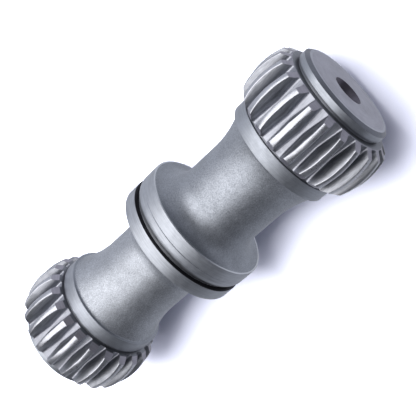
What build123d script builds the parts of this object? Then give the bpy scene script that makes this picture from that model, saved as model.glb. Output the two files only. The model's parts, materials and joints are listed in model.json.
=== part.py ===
from build123d import *
import os
from math import acos, cos, pi, radians, sin, sqrt, tan

os.makedirs("parts", exist_ok=True)

# Double-ended splined drive shaft: one turned and hobbed piece of steel.
# A grooved centre flange, two waisted necks that flare out to a collar, a
# crowned 22-tooth spline on each end, and a turned disc with a centre hole
# outside each spline. The shaft lies along X on its teeth, +X is the near
# end, and z = 0 is the surface that it lies on. Millimetres.

# ---- teeth ----
module = 2.5
teeth = 22
pressure_angle = 20.0
thickness_extra = 0.55        # added to the half-pitch tooth thickness
root_fillet = 0.38 * module
near_index = 0.0              # angle of a tooth space from straight up
far_index = -5.0              # the far spline is indexed 5 degrees round
crest_at = 69.5               # station of the thickest point of a tooth
inner_relief = 0.60           # flank relief at the collar end of a tooth
outer_relief = 1.00           # flank relief at the outer end of a tooth
crown_centre = 68.7           # the tooth tips lie on a sphere about this point

pitch_radius = module * teeth / 2
tip_radius = pitch_radius + module
root_radius = pitch_radius - 1.25 * module
base_radius = pitch_radius * cos(radians(pressure_angle))

# ---- axial stations, measured from the middle of the flange ----
half_length = 86.0
disc_inner = 82.0
disc_chamfer_at = 84.8
outer_wall = 80.8
outer_land_end = 78.6
inner_land_end = 59.2
inner_wall = 57.0
collar_outer = 55.8
collar_inner = 49.7
flare_start = 31.9
flange_half = 8.9

# ---- radii ----
face_radius = 20.3
disc_radius = 21.9
disc_undercut = 20.7
outer_wall_top = 24.2
inner_wall_top = 25.7
collar_undercut = 23.0
collar_radius = 24.0
flare_radius = 42.0
neck_radius = 18.75
dish_radius = 8.7
flange_radius = 29.0

# ---- flange groove and turned line ----
groove_left = -3.0
groove_right = -1.4
groove_floor = 26.6
lead_in_start = 1.6           # the near lip of the groove is rounded from here
lead_in_drop = 1.1            # down to this far below the rim
line_at = 3.3
line_half = 0.18
line_depth = 0.15
rim_break = 0.4
edge_break = 0.25

# ---- centre holes, 60 degree form A ----
centre_drill_radius = 3.15
centre_sink_radius = 6.6
centre_drill_depth = 14.0


def involute(angle):
    return tan(angle) - angle


def half_space(radius):
    """Half angle of a tooth space at a radius, in radians."""
    half_tooth = (
        (pi * module / 2 + thickness_extra) / (2 * pitch_radius)
        + involute(radians(pressure_angle))
        - involute(acos(min(1.0, base_radius / radius)))
    )
    return pi / teeth - half_tooth


def tip_at(station):
    return sqrt(tip_radius**2 - (station - crown_centre) ** 2)


# the lowest tooth corner of either spline sets the height of the shaft's axis
half_land = pi / teeth - half_space(tip_radius)


def lowest(index):
    pitch = 2 * pi / teeth
    nearest = (pi - radians(index) - pitch / 2) % pitch
    nearest = min(nearest, pitch - nearest)
    return tip_radius * cos(max(0.0, nearest - half_land))


axis_height = max(lowest(near_index), lowest(far_index))

# the shaft's axis and the planes on it
shaft_axis = Axis((0, 0, axis_height), (1, 0, 0))
section_plane = Plane(origin=(0, 0, axis_height), x_dir=(1, 0, 0), z_dir=(0, -1, 0))
end_plane = Plane(origin=(0, 0, axis_height), x_dir=(0, 1, 0), z_dir=(1, 0, 0))

flare_end = neck_radius + flare_radius - sqrt(
    flare_radius**2 - (collar_inner - flare_start) ** 2
)
flare_mid_x = (collar_inner + flare_start) / 2
flare_mid = neck_radius + flare_radius - sqrt(
    flare_radius**2 - (flare_mid_x - flare_start) ** 2
)
dish_flat = neck_radius + dish_radius
dish_mid = dish_radius * (1 - sin(radians(45)))
sink_depth = (centre_sink_radius - centre_drill_radius) / tan(radians(30))
point_depth = centre_drill_depth + centre_drill_radius / tan(radians(59))


def half_outline(side):
    """The outline of one half from the centre hole to the flange, as a list of
    straight runs and three-point arcs. side is +1 for the near half."""

    def at(x, r):
        return (side * x, r)

    return [
        ("line", at(half_length - point_depth, 0), at(half_length - centre_drill_depth, centre_drill_radius)),
        ("line", at(half_length - centre_drill_depth, centre_drill_radius), at(half_length - sink_depth, centre_drill_radius)),
        ("line", at(half_length - sink_depth, centre_drill_radius), at(half_length, centre_sink_radius)),
        ("line", at(half_length, centre_sink_radius), at(half_length, face_radius)),
        ("line", at(half_length, face_radius), at(disc_chamfer_at, disc_radius)),
        ("line", at(disc_chamfer_at, disc_radius), at(disc_inner + edge_break, disc_radius)),
        ("line", at(disc_inner + edge_break, disc_radius), at(disc_inner, disc_radius - edge_break)),
        ("line", at(disc_inner, disc_radius - edge_break), at(disc_inner, disc_undercut)),
        ("line", at(disc_inner, disc_undercut), at(outer_wall, disc_undercut)),
        ("line", at(outer_wall, disc_undercut), at(outer_wall, outer_wall_top)),
        ("line", at(outer_wall, outer_wall_top), at(outer_land_end, tip_at(outer_land_end))),
        ("arc", at(outer_land_end, tip_at(outer_land_end)), at(crown_centre, tip_radius), at(inner_land_end, tip_at(inner_land_end))),
        ("line", at(inner_land_end, tip_at(inner_land_end)), at(inner_wall, inner_wall_top)),
        ("line", at(inner_wall, inner_wall_top), at(inner_wall, collar_undercut)),
        ("line", at(inner_wall, collar_undercut), at(collar_outer, collar_undercut)),
        ("line", at(collar_outer, collar_undercut), at(collar_outer, collar_radius - edge_break)),
        ("line", at(collar_outer, collar_radius - edge_break), at(collar_outer - edge_break, collar_radius)),
        ("line", at(collar_outer - edge_break, collar_radius), at(collar_inner + rim_break, collar_radius)),
        ("line", at(collar_inner + rim_break, collar_radius), at(collar_inner, collar_radius - rim_break)),
        ("line", at(collar_inner, collar_radius - rim_break), at(collar_inner, flare_end)),
        ("arc", at(collar_inner, flare_end), at(flare_mid_x, flare_mid), at(flare_start, neck_radius)),
        ("line", at(flare_start, neck_radius), at(flange_half + dish_radius, neck_radius)),
        ("arc", at(flange_half + dish_radius, neck_radius), at(flange_half + dish_mid, neck_radius + dish_mid), at(flange_half, dish_flat)),
        ("line", at(flange_half, dish_flat), at(flange_half, flange_radius - rim_break)),
        ("line", at(flange_half, flange_radius - rim_break), at(flange_half - rim_break, flange_radius)),
    ]


# over the flange: the near ring with its turned line, then the rounded lead-in
# of the groove, then the groove and the far ring
lead_in_width = lead_in_start - groove_right
lead_in_radius = (lead_in_width**2 + lead_in_drop**2) / (2 * lead_in_drop)
lead_in_mid = lead_in_radius - sqrt(lead_in_radius**2 - (lead_in_width / 2) ** 2)
lead_in = [
    (lead_in_start, flange_radius),
    (lead_in_start - lead_in_width / 2, flange_radius - lead_in_mid),
    (groove_right, flange_radius - lead_in_drop),
]
near_ring = [
    (flange_half - rim_break, flange_radius),
    (line_at + line_half, flange_radius),
    (line_at, flange_radius - line_depth),
    (line_at - line_half, flange_radius),
    lead_in[0],
]
groove_and_far_ring = [
    lead_in[2],
    (groove_right, groove_floor),
    (groove_left, groove_floor),
    (groove_left, flange_radius - edge_break),
    (groove_left - edge_break, flange_radius),
    (-flange_half + rim_break, flange_radius),
]


def flank(relief):
    """Points up one side of a tooth space, from the base circle to clear of the
    tips, with the flank moved out by the relief."""
    radii = [base_radius + (31.5 - base_radius) * t for t in (0, 0.12, 0.35, 0.65, 1.0)]
    return [(r * sin(half_space(r)) + relief, r * cos(half_space(r))) for r in radii]


def mirrored(points):
    return [(-x, y) for x, y in reversed(points)]


def floor_corner(relief):
    x = root_radius * sin(half_space(base_radius)) + relief
    return (x, sqrt(root_radius**2 - x**2))


def relief_at(station):
    if station < crest_at:
        return inner_relief * (crest_at - station) / (crest_at - inner_wall)
    return outer_relief * (station - crest_at) / (outer_wall - crest_at)


# stations of the tooth space's sections: in one undercut, at the crest where
# the tooth is thickest, and in the other undercut
space_stations = [inner_wall - 0.6, crest_at, outer_wall + 0.6]

# One tooth space of each spline, along the local Z axis.
with BuildPart() as near_space:
    for station in space_stations:
        with BuildSketch(Plane.XY.offset(station)):
            side = flank(relief_at(station))
            corner = floor_corner(relief_at(station))
            with BuildLine():
                ThreePointArc((-corner[0], corner[1]), (0, root_radius), corner)
                Line(corner, side[0])
                Spline(*side)
                Line(side[-1], mirrored(side)[0])
                Spline(*mirrored(side))
                Line(mirrored(side)[-1], (-corner[0], corner[1]))
            make_face()
            low = [v for v in vertices() if v.Y < root_radius + 0.2]
            fillet(low, radius=root_fillet)
    loft(ruled=True)

with BuildPart() as far_space:
    for station in reversed(space_stations):
        with BuildSketch(Plane.XY.offset(-station)):
            side = flank(relief_at(station))
            corner = floor_corner(relief_at(station))
            with BuildLine():
                ThreePointArc((-corner[0], corner[1]), (0, root_radius), corner)
                Line(corner, side[0])
                Spline(*side)
                Line(side[-1], mirrored(side)[0])
                Spline(*mirrored(side))
                Line(mirrored(side)[-1], (-corner[0], corner[1]))
            make_face()
            low = [v for v in vertices() if v.Y < root_radius + 0.2]
            fillet(low, radius=root_fillet)
    loft(ruled=True)

# The shaft: the turned blank, then the tooth spaces cut through each end.
with BuildPart(end_plane) as splined_shaft:
    with BuildSketch(section_plane):
        with BuildLine():
            for run in half_outline(1):
                if run[0] == "line":
                    Line(run[1], run[2])
                else:
                    ThreePointArc(run[1], run[2], run[3])
            Polyline(*near_ring)
            ThreePointArc(*lead_in)
            Polyline(*groove_and_far_ring)
            for run in half_outline(-1):
                if run[0] == "line":
                    Line(run[1], run[2])
                else:
                    ThreePointArc(run[1], run[2], run[3])
            Line((-half_length + point_depth, 0), (half_length - point_depth, 0))
        make_face()
    revolve(axis=shaft_axis)
    with PolarLocations(0, teeth, start_angle=near_index):
        add(near_space.part, mode=Mode.SUBTRACT)
    with PolarLocations(0, teeth, start_angle=far_index):
        add(far_space.part, mode=Mode.SUBTRACT)

splined_shaft.part.label = "splined_shaft"
export_step(splined_shaft.part, "parts/splined_shaft.step")

box = splined_shaft.part.bounding_box()
print("axis height", round(axis_height, 3))
print("box", box.min, box.max)
print("volume", round(splined_shaft.part.volume, 1), "valid", splined_shaft.part.is_valid)
print("solids", len(splined_shaft.part.solids()), "faces", len(splined_shaft.part.faces()))
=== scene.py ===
import bpy
import json
from math import acos, asin, atan2, cos, hypot, pi, radians, sin, sqrt, tan
from mathutils import Matrix


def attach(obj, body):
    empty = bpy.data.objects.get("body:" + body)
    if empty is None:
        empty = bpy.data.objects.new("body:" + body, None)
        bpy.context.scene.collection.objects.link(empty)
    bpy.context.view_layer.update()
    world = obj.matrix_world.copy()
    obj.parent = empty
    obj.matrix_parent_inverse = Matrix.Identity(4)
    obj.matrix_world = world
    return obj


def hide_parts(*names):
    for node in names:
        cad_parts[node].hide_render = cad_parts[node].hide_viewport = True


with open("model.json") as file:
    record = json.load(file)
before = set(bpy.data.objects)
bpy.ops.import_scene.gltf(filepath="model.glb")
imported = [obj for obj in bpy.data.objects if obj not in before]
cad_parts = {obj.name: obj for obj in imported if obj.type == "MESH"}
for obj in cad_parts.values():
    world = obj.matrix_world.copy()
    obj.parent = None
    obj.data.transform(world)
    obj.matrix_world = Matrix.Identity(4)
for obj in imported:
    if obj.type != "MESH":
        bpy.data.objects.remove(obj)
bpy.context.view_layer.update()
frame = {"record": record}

# The height of the shaft's axis above the surface that it lies on, in metres,
# from the near pilot's mount. Everything below is in millimetres about that
# axis: x along the shaft, r out from the axis, phi round it from straight up,
# towards -Y.
axis_z = next(m["pos_m"][2] for m in frame["record"]["mounts"] if m["name"] == "near_pilot")
MM = 0.001

# ---------------------------------------------------------------- dimensions
MODULE, TEETH, PRESSURE = 2.5, 22, radians(20)
PITCH_R = MODULE * TEETH / 2
TIP_R = PITCH_R + MODULE
ROOT_R = PITCH_R - 1.25 * MODULE
BASE_R = PITCH_R * cos(PRESSURE)
THICKER = 0.55
FILLET = 0.38 * MODULE
CREST, CROWN = 69.5, 68.7
RELIEF_IN, RELIEF_OUT = 0.60, 1.00
INNER_WALL, INNER_LAND, OUTER_LAND, OUTER_WALL = 57.0, 59.2, 78.6, 80.8
INNER_TOP, OUTER_TOP = 25.7, 24.2
PITCH = 2 * pi / TEETH
NEAR_PHASE, FAR_PHASE = 0.0, radians(-5.0)
ROUND = 0.24                 # corner rounding of the tooth tips
SIDES = 160                  # sides of the plain turned surfaces


# ------------------------------------------------------------ mesh collector
class Skin:
    """One closed skin, with a material name on every face."""

    def __init__(self):
        self.verts, self.faces, self.mats, self.seen = [], [], [], {}

    def vert(self, x, r, phi):
        y, z = (-r * sin(phi), r * cos(phi)) if r > 1e-6 else (0.0, 0.0)
        key = (round(x, 4), round(y, 4), round(z, 4))
        if key not in self.seen:
            self.seen[key] = len(self.verts)
            self.verts.append((x * MM, y * MM, axis_z + z * MM))
        return self.seen[key]

    def face(self, mat, *corners):
        """Corners are vertex numbers; repeats left by merged corners go."""
        out = []
        for c in corners:
            if c not in out:
                out.append(c)
        if len(out) > 2:
            self.faces.append(tuple(out))
            self.mats.append(mat)

    def ring(self, nodes):
        return [self.vert(*n) for n in nodes]


skin = Skin()


def plain_ring(x, r, n=SIDES):
    return [(x, r, 2 * pi * i / n) for i in range(n)]


def bridge(a, b, mat):
    n = len(a)
    for i in range(n):
        j = (i + 1) % n
        skin.face(mat, a[i], a[j], b[j], b[i])


def zipper(nodes_a, nodes_b, mat):
    """Triangles between two rings with different numbers of sides."""
    def ordered(nodes):
        out = sorted((phi % (2 * pi), skin.vert(x, r, phi)) for x, r, phi in nodes)
        return out
    a, b = ordered(nodes_a), ordered(nodes_b)
    i = j = 0
    while i < len(a) or j < len(b):
        ai, bj = a[i % len(a)], b[j % len(b)]
        na = a[(i + 1) % len(a)][0] + (2 * pi if i + 1 >= len(a) else 0)
        nb = b[(j + 1) % len(b)][0] + (2 * pi if j + 1 >= len(b) else 0)
        if j >= len(b) or (i < len(a) and na <= nb):
            skin.face(mat, ai[1], a[(i + 1) % len(a)][1], bj[1])
            i += 1
        else:
            skin.face(mat, ai[1], b[(j + 1) % len(b)][1], bj[1])
            j += 1


# ------------------------------------------------------------- tooth profile
def involute(a):
    return tan(a) - a


def half_space(r):
    half_tooth = (
        (pi * MODULE / 2 + THICKER) / (2 * PITCH_R)
        + involute(PRESSURE)
        - involute(acos(min(1.0, BASE_R / r)))
    )
    return pi / TEETH - half_tooth


def relief(x):
    if x < CREST:
        return RELIEF_IN * (CREST - x) / (CREST - INNER_WALL)
    return RELIEF_OUT * (x - CREST) / (OUTER_WALL - CREST)


def tip(x):
    x = min(max(x, INNER_LAND), OUTER_LAND)
    return sqrt(TIP_R**2 - (x - CROWN) ** 2)


def blank(x):
    """Radius of the turned blank along the teeth."""
    if x < INNER_LAND:
        t = (x - INNER_WALL) / (INNER_LAND - INNER_WALL)
        return INNER_TOP + (tip(INNER_LAND) - INNER_TOP) * t
    if x > OUTER_LAND:
        t = (x - OUTER_LAND) / (OUTER_WALL - OUTER_LAND)
        return tip(OUTER_LAND) + (OUTER_TOP - tip(OUTER_LAND)) * t
    return tip(x)


def flank_angle(x, radius):
    """Half angle of the tooth space at a true radius, above the fillet."""
    e = relief(x)
    if radius >= BASE_R + 0.01:
        r = radius
        for _ in range(8):
            u, w = r * sin(half_space(r)) + e, r * cos(half_space(r))
            r += radius - hypot(u, w)
        return atan2(r * sin(half_space(r)) + e, r * cos(half_space(r)))
    # the straight run from the root circle to the base circle
    c, d = foot(x)
    lo, hi = 0.0, 1.0
    for _ in range(40):
        m = (lo + hi) / 2
        u, w = c[0] + (d[0] - c[0]) * m, c[1] + (d[1] - c[1]) * m
        if hypot(u, w) < radius:
            lo = m
        else:
            hi = m
    return atan2(c[0] + (d[0] - c[0]) * lo, c[1] + (d[1] - c[1]) * lo)


def foot(x):
    e = relief(x)
    cx = ROOT_R * sin(half_space(BASE_R)) + e
    c = (cx, sqrt(ROOT_R**2 - cx**2))
    d = (BASE_R * sin(half_space(BASE_R)) + e, BASE_R * cos(half_space(BASE_R)))
    return c, d


def fillet_nodes(x):
    """(radius, angle) of the fillet from the floor to the flank, 5 nodes."""
    c, d = foot(x)
    n = hypot(d[0] - c[0], d[1] - c[1])
    t = ((d[0] - c[0]) / n, (d[1] - c[1]) / n)
    side = (-t[1], t[0])      # towards the middle of the space
    # |c + a t + FILLET side| = ROOT_R + FILLET
    q = (c[0] + FILLET * side[0], c[1] + FILLET * side[1])
    b = q[0] * t[0] + q[1] * t[1]
    k = q[0] ** 2 + q[1] ** 2 - (ROOT_R + FILLET) ** 2
    a = -b + sqrt(b * b - k)
    f = (q[0] + a * t[0], q[1] + a * t[1])
    start = atan2(-f[1], -f[0])
    end = atan2(-side[1], -side[0])
    if end < start - pi:
        end += 2 * pi
    if end > start + pi:
        end -= 2 * pi
    out = []
    for i in range(5):
        g = start + (end - start) * i / 4
        u, w = f[0] + FILLET * cos(g), f[1] + FILLET * sin(g)
        out.append((hypot(u, w), atan2(u, w)))
    return out


# Columns of one half of a tooth space, from its middle (0) to the middle of
# the tooth (13): 0 floor, 1-5 fillet, 6-10 flank, 11 rounding, 12 land edge.
TOP = 13
LEVEL_6 = INNER_TOP
SPREAD = {7: 0.26, 8: 0.52, 9: 0.78}


def half_columns(x):
    """(nominal radius, angle) of columns 0 to 13 at a station."""
    out = [(ROOT_R, 0.0)] + fillet_nodes(x)
    out.append((LEVEL_6, flank_angle(x, LEVEL_6)))
    top = tip(x)
    low = top - ROUND
    for k in (7, 8, 9):
        r = LEVEL_6 + (low - LEVEL_6) * SPREAD[k]
        out.append((r, flank_angle(x, r)))
    out.append((low, flank_angle(x, low)))
    edge = flank_angle(x, top)
    out.append((top - 0.30 * ROUND, edge + 0.16 * ROUND / top))
    out.append((top, edge + 0.80 * ROUND / top))
    out.append((top, PITCH / 2))
    return out


def gear_ring(side, x, ceiling, phase):
    """Nodes of one station, and each column's level, round the whole gear."""
    cols = half_columns(x)
    order = list(range(0, TOP + 1)) + list(range(TOP - 1, 0, -1))
    signs = [1] * (TOP + 1) + [-1] * (TOP - 1)
    nodes = []
    for tooth in range(TEETH):
        for k, s in zip(order, signs):
            r, th = cols[k]
            th = th if s > 0 else PITCH - th
            nodes.append((side * x, min(r, ceiling), phase + tooth * PITCH + th))
    return nodes


LEVELS = (list(range(0, TOP + 1)) + list(range(TOP - 1, 0, -1))) * TEETH


def band(k, l):
    """Material of a run of the tooth form between columns k and l."""
    k, l = min(k, l), max(k, l)
    if l <= 1:
        return "root"
    if l <= 5:
        return "root"
    if l <= 10:
        return "flank"
    return "land"


def gear_cells(a, b, level_a, end_mat):
    """Cells between stations a and b. level_a is None along the crown, else the
    column whose crease lies on station a; b's crease is one column lower."""
    n = len(a)
    for i in range(n):
        j = (i + 1) % n
        ki, kj = LEVELS[i], LEVELS[j]
        lo = min(ki, kj)
        if level_a is None or lo + 1 < level_a:
            skin.face(band(ki, kj), a[i], a[j], b[j], b[i])
        elif lo >= level_a:
            skin.face(end_mat, a[i], a[j], b[j], b[i])
        else:
            p, q = (i, j) if ki < kj else (j, i)      # p is the lower column
            skin.face(band(ki, kj), a[p], a[q], b[p])
            skin.face(end_mat, a[q], b[q], b[p])


def crossing(k, x0, x1):
    """Where the blank's cone between x0 and x1 meets column k."""
    for _ in range(40):
        m = (x0 + x1) / 2
        if blank(m) > half_columns(m)[k][0]:
            x0 = m
        else:
            x1 = m
    return (x0 + x1) / 2


def even_ring(side, x, r, phase):
    """As many points as a gear ring has, evenly spaced."""
    n = len(LEVELS)
    return [(side * x, r, phase + 2 * pi * i / n) for i in range(n)]


def gear(side, phase):
    """The spline of one end, from its outer wall to its inner wall."""
    crown = [59.2, 60.4, 62.0, 64.1, 66.4, 68.2, 69.5, 70.8, 72.8, 75.0, 76.9, 78.6]
    rings = {x: skin.ring(gear_ring(side, x, tip(x), phase)) for x in crown}
    for x0, x1 in zip(crown, crown[1:]):
        gear_cells(rings[x0], rings[x1], None, None)
    # outer cone, from the land down to the wall's edge
    last, level = rings[OUTER_LAND], 12
    for k in range(11, 0, -1):
        x = crossing(k, OUTER_LAND, OUTER_WALL)
        nxt = skin.ring(gear_ring(side, x, half_columns(x)[k][0], phase))
        gear_cells(last, nxt, level, "tooth_end")
        last, level = nxt, k
    edge = gear_ring(side, OUTER_WALL, OUTER_TOP, phase)
    nxt = skin.ring(edge)
    gear_cells(last, nxt, 0, "tooth_end")
    inside = even_ring(side, OUTER_WALL, 22.9, phase)
    bridge(nxt, skin.ring(inside), "undercut")
    zipper(inside, plain_ring(side * OUTER_WALL, 21.4), "undercut")
    # inner chamfer, then the wall that faces the collar
    last, level = rings[INNER_LAND], 12
    for k in range(11, 5, -1):
        x = INNER_WALL
        if k > 6:
            x = crossing(k, INNER_LAND, INNER_WALL)
        nxt = skin.ring(gear_ring(side, x, half_columns(x)[k][0], phase))
        gear_cells(last, nxt, level, "tooth_end")
        last, level = nxt, k
    for k in range(5, 0, -1):
        nxt = skin.ring(gear_ring(side, INNER_WALL, half_columns(INNER_WALL)[k][0], phase))
        gear_cells(last, nxt, level, "tooth_wall")
        last, level = nxt, k
    inside = even_ring(side, INNER_WALL, 23.95, phase)
    gear_cells(last, skin.ring(inside), 0, "tooth_wall")
    zipper(inside, plain_ring(side * INNER_WALL, 23.5), "undercut")


# ------------------------------------------------------------ turned profile
def rounded(points, steps=4):
    """points: (x, r, radius of its rounding, material of the run after it).
    Gives (x, r, material) with each corner rounded."""
    out = []
    for i, (x, r, rad, mat) in enumerate(points):
        if rad <= 0 or i in (0, len(points) - 1):
            out.append((x, r, mat))
            continue
        ax, ar = points[i - 1][0] - x, points[i - 1][1] - r
        bx, br = points[i + 1][0] - x, points[i + 1][1] - r
        la, lb = hypot(ax, ar), hypot(bx, br)
        ax, ar, bx, br = ax / la, ar / la, bx / lb, br / lb
        half = acos(max(-1.0, min(1.0, ax * bx + ar * br))) / 2
        cut = min(rad / tan(half), 0.45 * la, 0.45 * lb)
        rad = cut * tan(half)
        mx, mr = ax + bx, ar + br
        ml = hypot(mx, mr)
        cx, cr = x + mx / ml * rad / sin(half), r + mr / ml * rad / sin(half)
        s = atan2(r + ar * cut - cr, x + ax * cut - cx)
        e = atan2(r + br * cut - cr, x + bx * cut - cx)
        while e - s > pi:
            e -= 2 * pi
        while e - s < -pi:
            e += 2 * pi
        for k in range(steps + 1):
            g = s + (e - s) * k / steps
            m = mat if k >= steps / 2 else points[i - 1][3]
            out.append((cx + rad * cos(g), cr + rad * sin(g), m))
    return out


def split(points, longest):
    """Adds points to the long runs, so that no cell is a long sliver."""
    out = []
    for (x0, r0, m0), (x1, r1, _) in zip(points, points[1:]):
        n = max(1, int(hypot(x1 - x0, r1 - r0) / longest + 0.999))
        out += [(x0 + (x1 - x0) * k / n, r0 + (r1 - r0) * k / n, m0) for k in range(n)]
    return out + [points[-1]]


def lathe(points, side=1):
    rings = []
    for x, r, mat in points:
        rings.append(([skin.vert(side * x, 0, 0)] * SIDES if r < 1e-6 else skin.ring(plain_ring(side * x, r)), mat))
    for (a, mat), (b, _) in zip(rings, rings[1:]):
        bridge(a, b, mat)


def end_profile():
    sink = 3.45 / tan(radians(30))
    rough = [
        (70.107, 0.0, 0, "hole"),
        (72.0, 3.15, 0.10, "hole"),
        (86.0 - sink, 3.15, 0.15, "sink"),
        (86.0, 6.6, 0.14, "face"),
        (86.0, 18.55, 0, "face"),
        (85.955, 18.75, 0, "face"),
        (85.955, 18.95, 0, "face"),
        (86.0, 19.15, 0, "face_rim"),
        (86.0, 20.3, 0.22, "chamfer"),
        (84.8, 21.9, 0.30, "disc"),
        (82.0, 21.9, 0.28, "undercut"),
        (82.0, 20.7, 0.15, "undercut"),
        (80.8, 20.7, 0.15, "undercut"),
        (80.8, 21.4, 0, "undercut"),
    ]
    return split(rounded(rough), 1.6)


NECK_R, FLARE_R, FLARE_AT, COLLAR_IN, COLLAR_R = 18.75, 42.0, 31.9, 49.7, 24.0
FLANGE, FLANGE_R, DISH = 8.9, 29.0, 8.7


def half_body(neck):
    """From the inner wall of the teeth to the face of the flange."""
    flare_end = NECK_R + FLARE_R - sqrt(FLARE_R**2 - (COLLAR_IN - FLARE_AT) ** 2)
    rough = [
        (57.0, 23.5, 0, "undercut"),
        (57.0, 23.0, 0.15, "undercut"),
        (55.8, 23.0, 0.15, "undercut"),
        (55.8, COLLAR_R, 0.26, "collar"),
        (COLLAR_IN, COLLAR_R, 0.42, "collar_step"),
        (COLLAR_IN, flare_end, 0, neck),
    ]
    pts = rounded(rough)
    # a small concave corner at the foot of the collar, then the flare
    x0 = COLLAR_IN - 0.35
    r0 = NECK_R + FLARE_R - sqrt(FLARE_R**2 - (x0 - FLARE_AT) ** 2)
    pts[-1] = (COLLAR_IN, flare_end + 0.30, neck)
    pts.append((COLLAR_IN - 0.10, flare_end + 0.06, neck))
    n = 22
    for k in range(n + 1):
        x = x0 + (FLARE_AT - x0) * k / n
        pts.append((x, NECK_R + FLARE_R - sqrt(FLARE_R**2 - (x - FLARE_AT) ** 2), neck))
    for k in range(1, 8):
        pts.append((FLARE_AT + (FLANGE + DISH - FLARE_AT) * k / 8, NECK_R, neck))
    for k in range(0, 19):
        g = radians(90 * k / 18)
        pts.append((FLANGE + DISH - DISH * sin(g), NECK_R + DISH - DISH * cos(g), "dish"))
    pts.append((FLANGE, 28.2, "dish"))
    return pts


LEAD_X, LEAD_W, LEAD_DROP = 1.6, 3.0, 1.1


def lead_in():
    """The rounded near lip of the groove, after its first point. Its inner half, towards the groove, takes a darker
    steel: painted shade.
    """
    r = (LEAD_W**2 + LEAD_DROP**2) / (2 * LEAD_DROP)
    sweep = asin(LEAD_W / r)
    out = []
    for k in range(1, 9):
        g = sweep * k / 8
        out.append((LEAD_X - r * sin(g), FLANGE_R - r + r * cos(g), 0, "ring_left" if k < 4 else "groove_lip"))
    return out


def flange_profile():
    """Over the flange from its near rim to its far rim."""
    rough = [
        (FLANGE, 28.2, 0, "rim"),
        (FLANGE, FLANGE_R, 0.42, "ring"),
        (3.50, FLANGE_R, 0, "ring"),
        (3.30, FLANGE_R - 0.15, 0, "ring"),
        (3.10, FLANGE_R, 0, "ring_left"),
        (LEAD_X, FLANGE_R, 0, "ring_left"),
        *lead_in()[:-1],
        (-1.40, FLANGE_R - LEAD_DROP, 0.10, "groove"),
        (-1.40, 26.6, 0.12, "groove_floor"),
        (-3.00, 26.6, 0.12, "groove"),
        (-3.00, FLANGE_R, 0.26, "ring"),
        (-FLANGE, FLANGE_R, 0.42, "rim"),
        (-FLANGE, 28.2, 0, "dish"),
    ]
    return split(rounded(rough), 1.3)


def end_for(side):
    """The same points, with x counted towards that side."""
    lathe(end_profile(), side)


# the far neck takes a lighter copy of the blasted steel than the near neck: painted light on the far neck, painted
# shade on the near one
for side, phase in ((1, NEAR_PHASE), (-1, FAR_PHASE)):
    end_for(side)
    gear(side, phase)
    lathe(half_body("neck" if side > 0 else "neck_far"), side)
lathe(flange_profile())

names = sorted(set(skin.mats))
mesh = bpy.data.meshes.new("splined_shaft_skin")
mesh.from_pydata(skin.verts, [], skin.faces)
shaft = bpy.data.objects.new("splined_shaft_skin", mesh)
bpy.context.scene.collection.objects.link(shaft)

import bmesh
bm = bmesh.new()
bm.from_mesh(mesh)
bmesh.ops.recalc_face_normals(bm, faces=bm.faces)
open_edges = sum(1 for e in bm.edges if len(e.link_faces) != 2)
volume = bm.calc_volume(signed=True)
if volume < 0:
    bmesh.ops.reverse_faces(bm, faces=bm.faces)
bm.to_mesh(mesh)
print("skin:", len(mesh.vertices), "points,", sum(len(p.vertices) - 2 for p in mesh.polygons),
      "triangles, open edges", open_edges, "volume mm3", round(abs(volume) * 1e9))
bm.free()


# ------------------------------------------------------------------ materials
def new_material(name):
    m = bpy.data.materials.new(name)
    m.use_nodes = True
    return m, m.node_tree.nodes, m.node_tree.links


def add(nodes, kind, **props):
    n = nodes.new(kind)
    for k, v in props.items():
        setattr(n, k, v)
    return n


def math_node(nodes, links, op, a, b=None, clamp=False):
    n = add(nodes, "ShaderNodeMath", operation=op, use_clamp=clamp)
    for i, v in enumerate((a, b)):
        if v is None:
            continue
        if isinstance(v, (int, float)):
            n.inputs[i].default_value = v
        else:
            links.new(v, n.inputs[i])
    return n.outputs[0]


def cylinder_coords(nodes, links):
    """x along the shaft, radius from its axis, and the object's position, all
    in millimetres, from the object's own coordinates."""
    co = add(nodes, "ShaderNodeTexCoord")
    sep = add(nodes, "ShaderNodeSeparateXYZ")
    links.new(co.outputs["Object"], sep.inputs[0])
    x = math_node(nodes, links, "MULTIPLY", sep.outputs[0], 1000.0)
    y = math_node(nodes, links, "MULTIPLY", sep.outputs[1], 1000.0)
    z = math_node(nodes, links, "MULTIPLY", math_node(nodes, links, "SUBTRACT", sep.outputs[2], axis_z), 1000.0)
    y2 = math_node(nodes, links, "MULTIPLY", y, y)
    z2 = math_node(nodes, links, "MULTIPLY", z, z)
    rad = math_node(nodes, links, "SQRT", math_node(nodes, links, "ADD", y2, z2))
    return x, y, z, rad


def combine(nodes, links, x, y, z):
    n = add(nodes, "ShaderNodeCombineXYZ")
    for i, v in enumerate((x, y, z)):
        if isinstance(v, (int, float)):
            n.inputs[i].default_value = v
        else:
            links.new(v, n.inputs[i])
    return n.outputs[0]


def noise(nodes, links, vector, scale, detail=2.0, rough=0.5):
    n = add(nodes, "ShaderNodeTexNoise")
    n.inputs["Scale"].default_value = scale
    n.inputs["Detail"].default_value = detail
    n.inputs["Roughness"].default_value = rough
    links.new(vector, n.inputs["Vector"])
    return n.outputs["Fac"]


def ramp(nodes, links, fac, stops):
    n = add(nodes, "ShaderNodeValToRGB")
    el = n.color_ramp.elements
    while len(el) < len(stops):
        el.new(0.5)
    for e, (at, col) in zip(el, stops):
        e.position = at
        e.color = (*col, 1.0) if isinstance(col, tuple) else (col, col, col, 1.0)
    links.new(fac, n.inputs[0])
    return n.outputs["Color"]


def mapped(nodes, links, value, lo, hi, to_lo, to_hi):
    n = add(nodes, "ShaderNodeMapRange")
    n.clamp = True
    links.new(value, n.inputs[0])
    for i, v in zip((1, 2, 3, 4), (lo, hi, to_lo, to_hi)):
        n.inputs[i].default_value = v
    return n.outputs[0]


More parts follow.
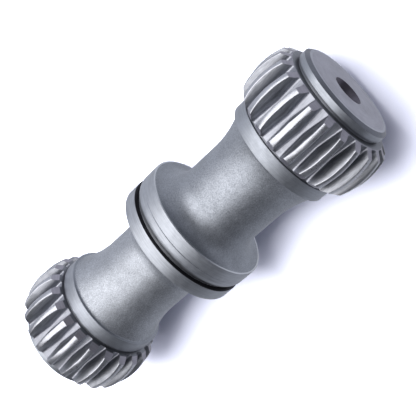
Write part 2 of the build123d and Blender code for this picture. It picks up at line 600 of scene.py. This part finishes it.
def tint(nodes, links, base, shade):
    """base colour times a grey shade."""
    n = add(nodes, "ShaderNodeMix", data_type="RGBA", blend_type="MULTIPLY")
    n.inputs[0].default_value = 1.0
    n.inputs[6].default_value = (*base, 1.0)
    c = combine(nodes, links, shade, shade, shade)
    links.new(c, n.inputs[7])
    return n.outputs[2]


def metal(name, base, rough, metallic=1.0, grain=0.0, grain_mm=0.35, turned=0.0,
          turned_dir="x", streak=0.0, blotch=0.10, rough_var=0.06, sparkle=0.0,
          lines_mm=0.30):
    """A steel surface. grain: blasted pits; turned: fine turning lines, round
    the axis (x) or concentric on a face (r) or along the teeth (l)."""
    m, nodes, links = new_material(name)
    bsdf = nodes["Principled BSDF"]
    bsdf.inputs["Metallic"].default_value = metallic
    x, y, z, rad = cylinder_coords(nodes, links)
    place = combine(nodes, links, x, y, z)
    big = noise(nodes, links, place, 0.11, 3.0, 0.6)
    shade = mapped(nodes, links, big, 0.3, 0.7, 1.0 - blotch, 1.0 + blotch)
    heights = []
    if grain:
        fine = noise(nodes, links, place, 1.0 / grain_mm, 3.0, 0.65)
        mid = noise(nodes, links, place, 0.30 / grain_mm, 2.0, 0.5)
        heights.append((fine, 0.030 * grain))
        heights.append((mid, 0.035 * grain))
        speck = mapped(nodes, links, fine, 0.36, 0.66, 1.0 - 0.5 * sparkle, 1.0 + 0.5 * sparkle)
        shade = math_node(nodes, links, "MULTIPLY", shade, speck)
    if turned or streak:
        if turned_dir == "x":
            v = combine(nodes, links, x, math_node(nodes, links, "MULTIPLY", y, 0.035),
                        math_node(nodes, links, "MULTIPLY", z, 0.035))
        elif turned_dir == "r":
            v = combine(nodes, links, rad, math_node(nodes, links, "MULTIPLY", y, 0.02),
                        math_node(nodes, links, "MULTIPLY", z, 0.02))
        else:
            v = combine(nodes, links, math_node(nodes, links, "MULTIPLY", x, 0.06), y, z)
        line = noise(nodes, links, v, 1.0 / lines_mm, 2.0, 0.6)
        heights.append((line, 0.020 * turned))
        if streak:
            s = mapped(nodes, links, line, 0.34, 0.66, 1.0 - streak, 1.0 + streak)
            shade = math_node(nodes, links, "MULTIPLY", shade, s)
    links.new(tint(nodes, links, base, shade), bsdf.inputs["Base Color"])
    r = mapped(nodes, links, noise(nodes, links, place, 0.45, 3.0, 0.6), 0.3, 0.7,
               rough - rough_var, rough + rough_var)
    links.new(r, bsdf.inputs["Roughness"])
    if heights:
        total = None
        for h, amount in heights:
            part = math_node(nodes, links, "MULTIPLY", h, amount)
            total = part if total is None else math_node(nodes, links, "ADD", total, part)
        b = add(nodes, "ShaderNodeBump")
        b.inputs["Strength"].default_value = 1.0
        b.inputs["Distance"].default_value = MM
        links.new(total, b.inputs["Height"])
        links.new(b.outputs[0], bsdf.inputs["Normal"])
    return m


COOL = (0.44, 0.46, 0.50)
finish = {
    # two copies of one blasted steel: the near neck's darker colour is painted shade and the far neck's lighter
    # colour is painted light
    "neck": metal("blasted_near_neck_painted_shade", (0.355, 0.375, 0.415), 0.50, grain=1.2, sparkle=0.5, grain_mm=0.45),
    "neck_far": metal("blasted_far_neck_painted_light", (0.42, 0.44, 0.48), 0.50, grain=1.2, sparkle=0.5, grain_mm=0.45),
    "dish": metal("blasted_dish", (0.37, 0.39, 0.43), 0.50, grain=1.2, sparkle=0.4, grain_mm=0.45),
    # the rim's light base colour is a painted highlight along the flange's edges; its lower roughness is the turned
    # polish
    "rim": metal("turned_rim_painted_highlight", (0.62, 0.64, 0.68), 0.34, turned=1.0, streak=0.05),
    "ring": metal("turned_ring", (0.41, 0.43, 0.47), 0.47, turned=1.0, streak=0.10),
    "ring_left": metal("turned_ring_left", (0.40, 0.42, 0.46), 0.47, turned=1.2, streak=0.12),
    # a darker copy of the ring's steel for the lip's inner half: painted shade where the lip turns into the groove
    "groove_lip": metal("groove_lip", (0.34, 0.36, 0.39), 0.44, turned=0.8),
    # near-black: painted shadow on the groove's wall
    "groove": metal("groove_wall_painted_shadow", (0.06, 0.06, 0.07), 0.55, turned=0.5),
    "groove_floor": metal("groove_floor", (0.30, 0.31, 0.34), 0.45, turned=0.6),
    "collar": metal("turned_collar", (0.36, 0.38, 0.42), 0.48, turned=1.0, streak=0.08, grain=0.3, sparkle=0.1),
    "collar_step": metal("collar_step", (0.36, 0.38, 0.42), 0.46, turned=0.6),
    "undercut": metal("undercut", (0.26, 0.27, 0.30), 0.50, turned=0.5),
    "land": metal("tooth_land", (0.48, 0.49, 0.53), 0.30, turned=0.8, turned_dir="l", streak=0.12),
    "flank": metal("tooth_flank", (0.31, 0.32, 0.35), 0.42, turned=1.2, turned_dir="l", streak=0.16),
    "root": metal("tooth_root", (0.33, 0.34, 0.38), 0.38, turned=1.0, turned_dir="l", streak=0.12),
    "tooth_end": metal("tooth_end", (0.38, 0.37, 0.42), 0.42, turned=0.8, streak=0.08),
    "tooth_wall": metal("tooth_wall", (0.28, 0.29, 0.32), 0.46, turned=0.5),
    "disc": metal("turned_disc", (0.36, 0.38, 0.42), 0.42, turned=1.0, streak=0.08),
    # darker than the disc's own steel: painted shade on the chamfer
    "chamfer": metal("disc_chamfer_painted_shade", (0.20, 0.21, 0.24), 0.40, turned=0.6),
    "face": metal("end_face", (0.42, 0.42, 0.48), 0.44, turned=0.7, turned_dir="r", streak=0.05),
    "face_rim": metal("end_face_rim", (0.46, 0.47, 0.53), 0.42, turned=0.7, turned_dir="r", streak=0.05),
    # the countersink is painted dark and the drilled hole near-black: painted shade inside the centre hole
    "sink": metal("centre_sink_painted_shade", (0.14, 0.13, 0.16), 0.40, turned=0.8),
    "hole": metal("centre_hole_painted_shade", (0.06, 0.06, 0.07), 0.50, turned=0.5),
}
for n in names:
    mesh.materials.append(finish[n])
for poly, mat in zip(mesh.polygons, skin.mats):
    poly.material_index = names.index(mat)
mesh.shade_smooth()
mesh.set_sharp_from_angle(angle=radians(31))
mesh.update()

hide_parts("splined_shaft")
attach(shaft, "root")


# ---------------------------------------------------------------- the setting
SKY_DIM, SKY_LIT, SKY_WALL = 0.17, 0.24, 0.85
GROUND_DIM, GROUND_LIT = 0.62, 0.80
floor_mesh = bpy.data.meshes.new("studio_floor")
W = 4.0
floor_mesh.from_pydata([(-W, -W, 0), (W, -W, 0), (W, W, 0), (-W, W, 0)], [], [(0, 1, 2, 3)])
floor = bpy.data.objects.new("studio_floor", floor_mesh)
bpy.context.scene.collection.objects.link(floor)
fm, fn, fl = new_material("studio_floor")
fb = fn["Principled BSDF"]
fb.inputs["Base Color"].default_value = (0.76, 0.78, 0.96, 1.0)
fb.inputs["Roughness"].default_value = 0.85
fb.inputs["Specular IOR Level"].default_value = 0.15
floor_mesh.materials.append(fm)

# Polished metal mirrors the room: a dim ceiling, and a floor that is lighter on
# the lamp's side. The floor itself stays out of the metal's reflections, because
# the lamp that whitens it would flood them.
floor.visible_glossy = False
world = bpy.data.worlds.new("studio")
world.use_nodes = True
wn, wl = world.node_tree.nodes, world.node_tree.links
bg = wn["Background"]
sky_dir = add(wn, "ShaderNodeSeparateXYZ")
wl.new(add(wn, "ShaderNodeTexCoord").outputs["Generated"], sky_dir.inputs[0])
below = mapped(wn, wl, sky_dir.outputs[2], 0.06, -0.16, 0.0, 1.0)
ground = mapped(wn, wl, sky_dir.outputs[1], -0.8, 0.8, GROUND_DIM, GROUND_LIT)
ceiling = mapped(wn, wl, sky_dir.outputs[1], -0.9, 0.6, SKY_DIM, SKY_LIT)
wall = math_node(wn, wl, "MULTIPLY", mapped(wn, wl, sky_dir.outputs[1], 0.55, 0.90, 0.0, 1.0),
                 mapped(wn, wl, sky_dir.outputs[2], 0.50, 0.34, 0.0, SKY_WALL - SKY_LIT))
ceiling = math_node(wn, wl, "ADD", ceiling, wall)
level = math_node(wn, wl, "ADD", math_node(wn, wl, "MULTIPLY", below, ground),
                  math_node(wn, wl, "MULTIPLY", math_node(wn, wl, "SUBTRACT", 1.0, below), ceiling))
bg.inputs[0].default_value = (0.88, 0.91, 1.0, 1.0)
wl.new(level, bg.inputs[1])
bpy.context.scene.world = world


def softbox(name, at, to, size, watts, colour=(1, 1, 1)):
    light = bpy.data.lights.new(name, "AREA")
    light.shape = "RECTANGLE"
    light.size, light.size_y = size
    light.energy = watts
    light.color = colour
    ob = bpy.data.objects.new(name, light)
    bpy.context.scene.collection.objects.link(ob)
    from mathutils import Vector
    direction = Vector(to) - Vector(at)
    ob.rotation_euler = direction.to_track_quat("-Z", "Y").to_euler()
    ob.location = at
    return ob


softbox("key", (-0.22, 0.47, 0.93), (0, 0, 0.02), (1.90, 1.40), 18.0, (1.0, 0.99, 0.985))

# a lamp of its own for the backdrop, so that it comes out white
backdrop = bpy.data.collections.new("backdrop")
backdrop.objects.link(floor)
lamp = softbox("backdrop_lamp", (-0.08, 0.33, 0.93), (0, 0, 0), (0.55, 0.55), 19.0, (1.0, 1.0, 0.93))
lamp.light_linking.receiver_collection = backdrop

camera_data = bpy.data.cameras.new("camera")
camera_data.lens = 75.39
camera_data.sensor_width = 36.0
camera_data.clip_start = 0.01
camera = bpy.data.objects.new("camera", camera_data)
bpy.context.scene.collection.objects.link(camera)
right = (0.67459, -0.66653, -0.31727)
up = (0.60708, 0.74544, -0.27525)
back = (0.41997, -0.00693, 0.90751)
camera.matrix_world = Matrix((
    (right[0], up[0], back[0], 0.16003),
    (right[1], up[1], back[1], 0.0),
    (right[2], up[2], back[2], 0.35146),
    (0, 0, 0, 1),
))
bpy.context.scene.camera = camera
bpy.context.scene.view_settings.view_transform = "Standard"
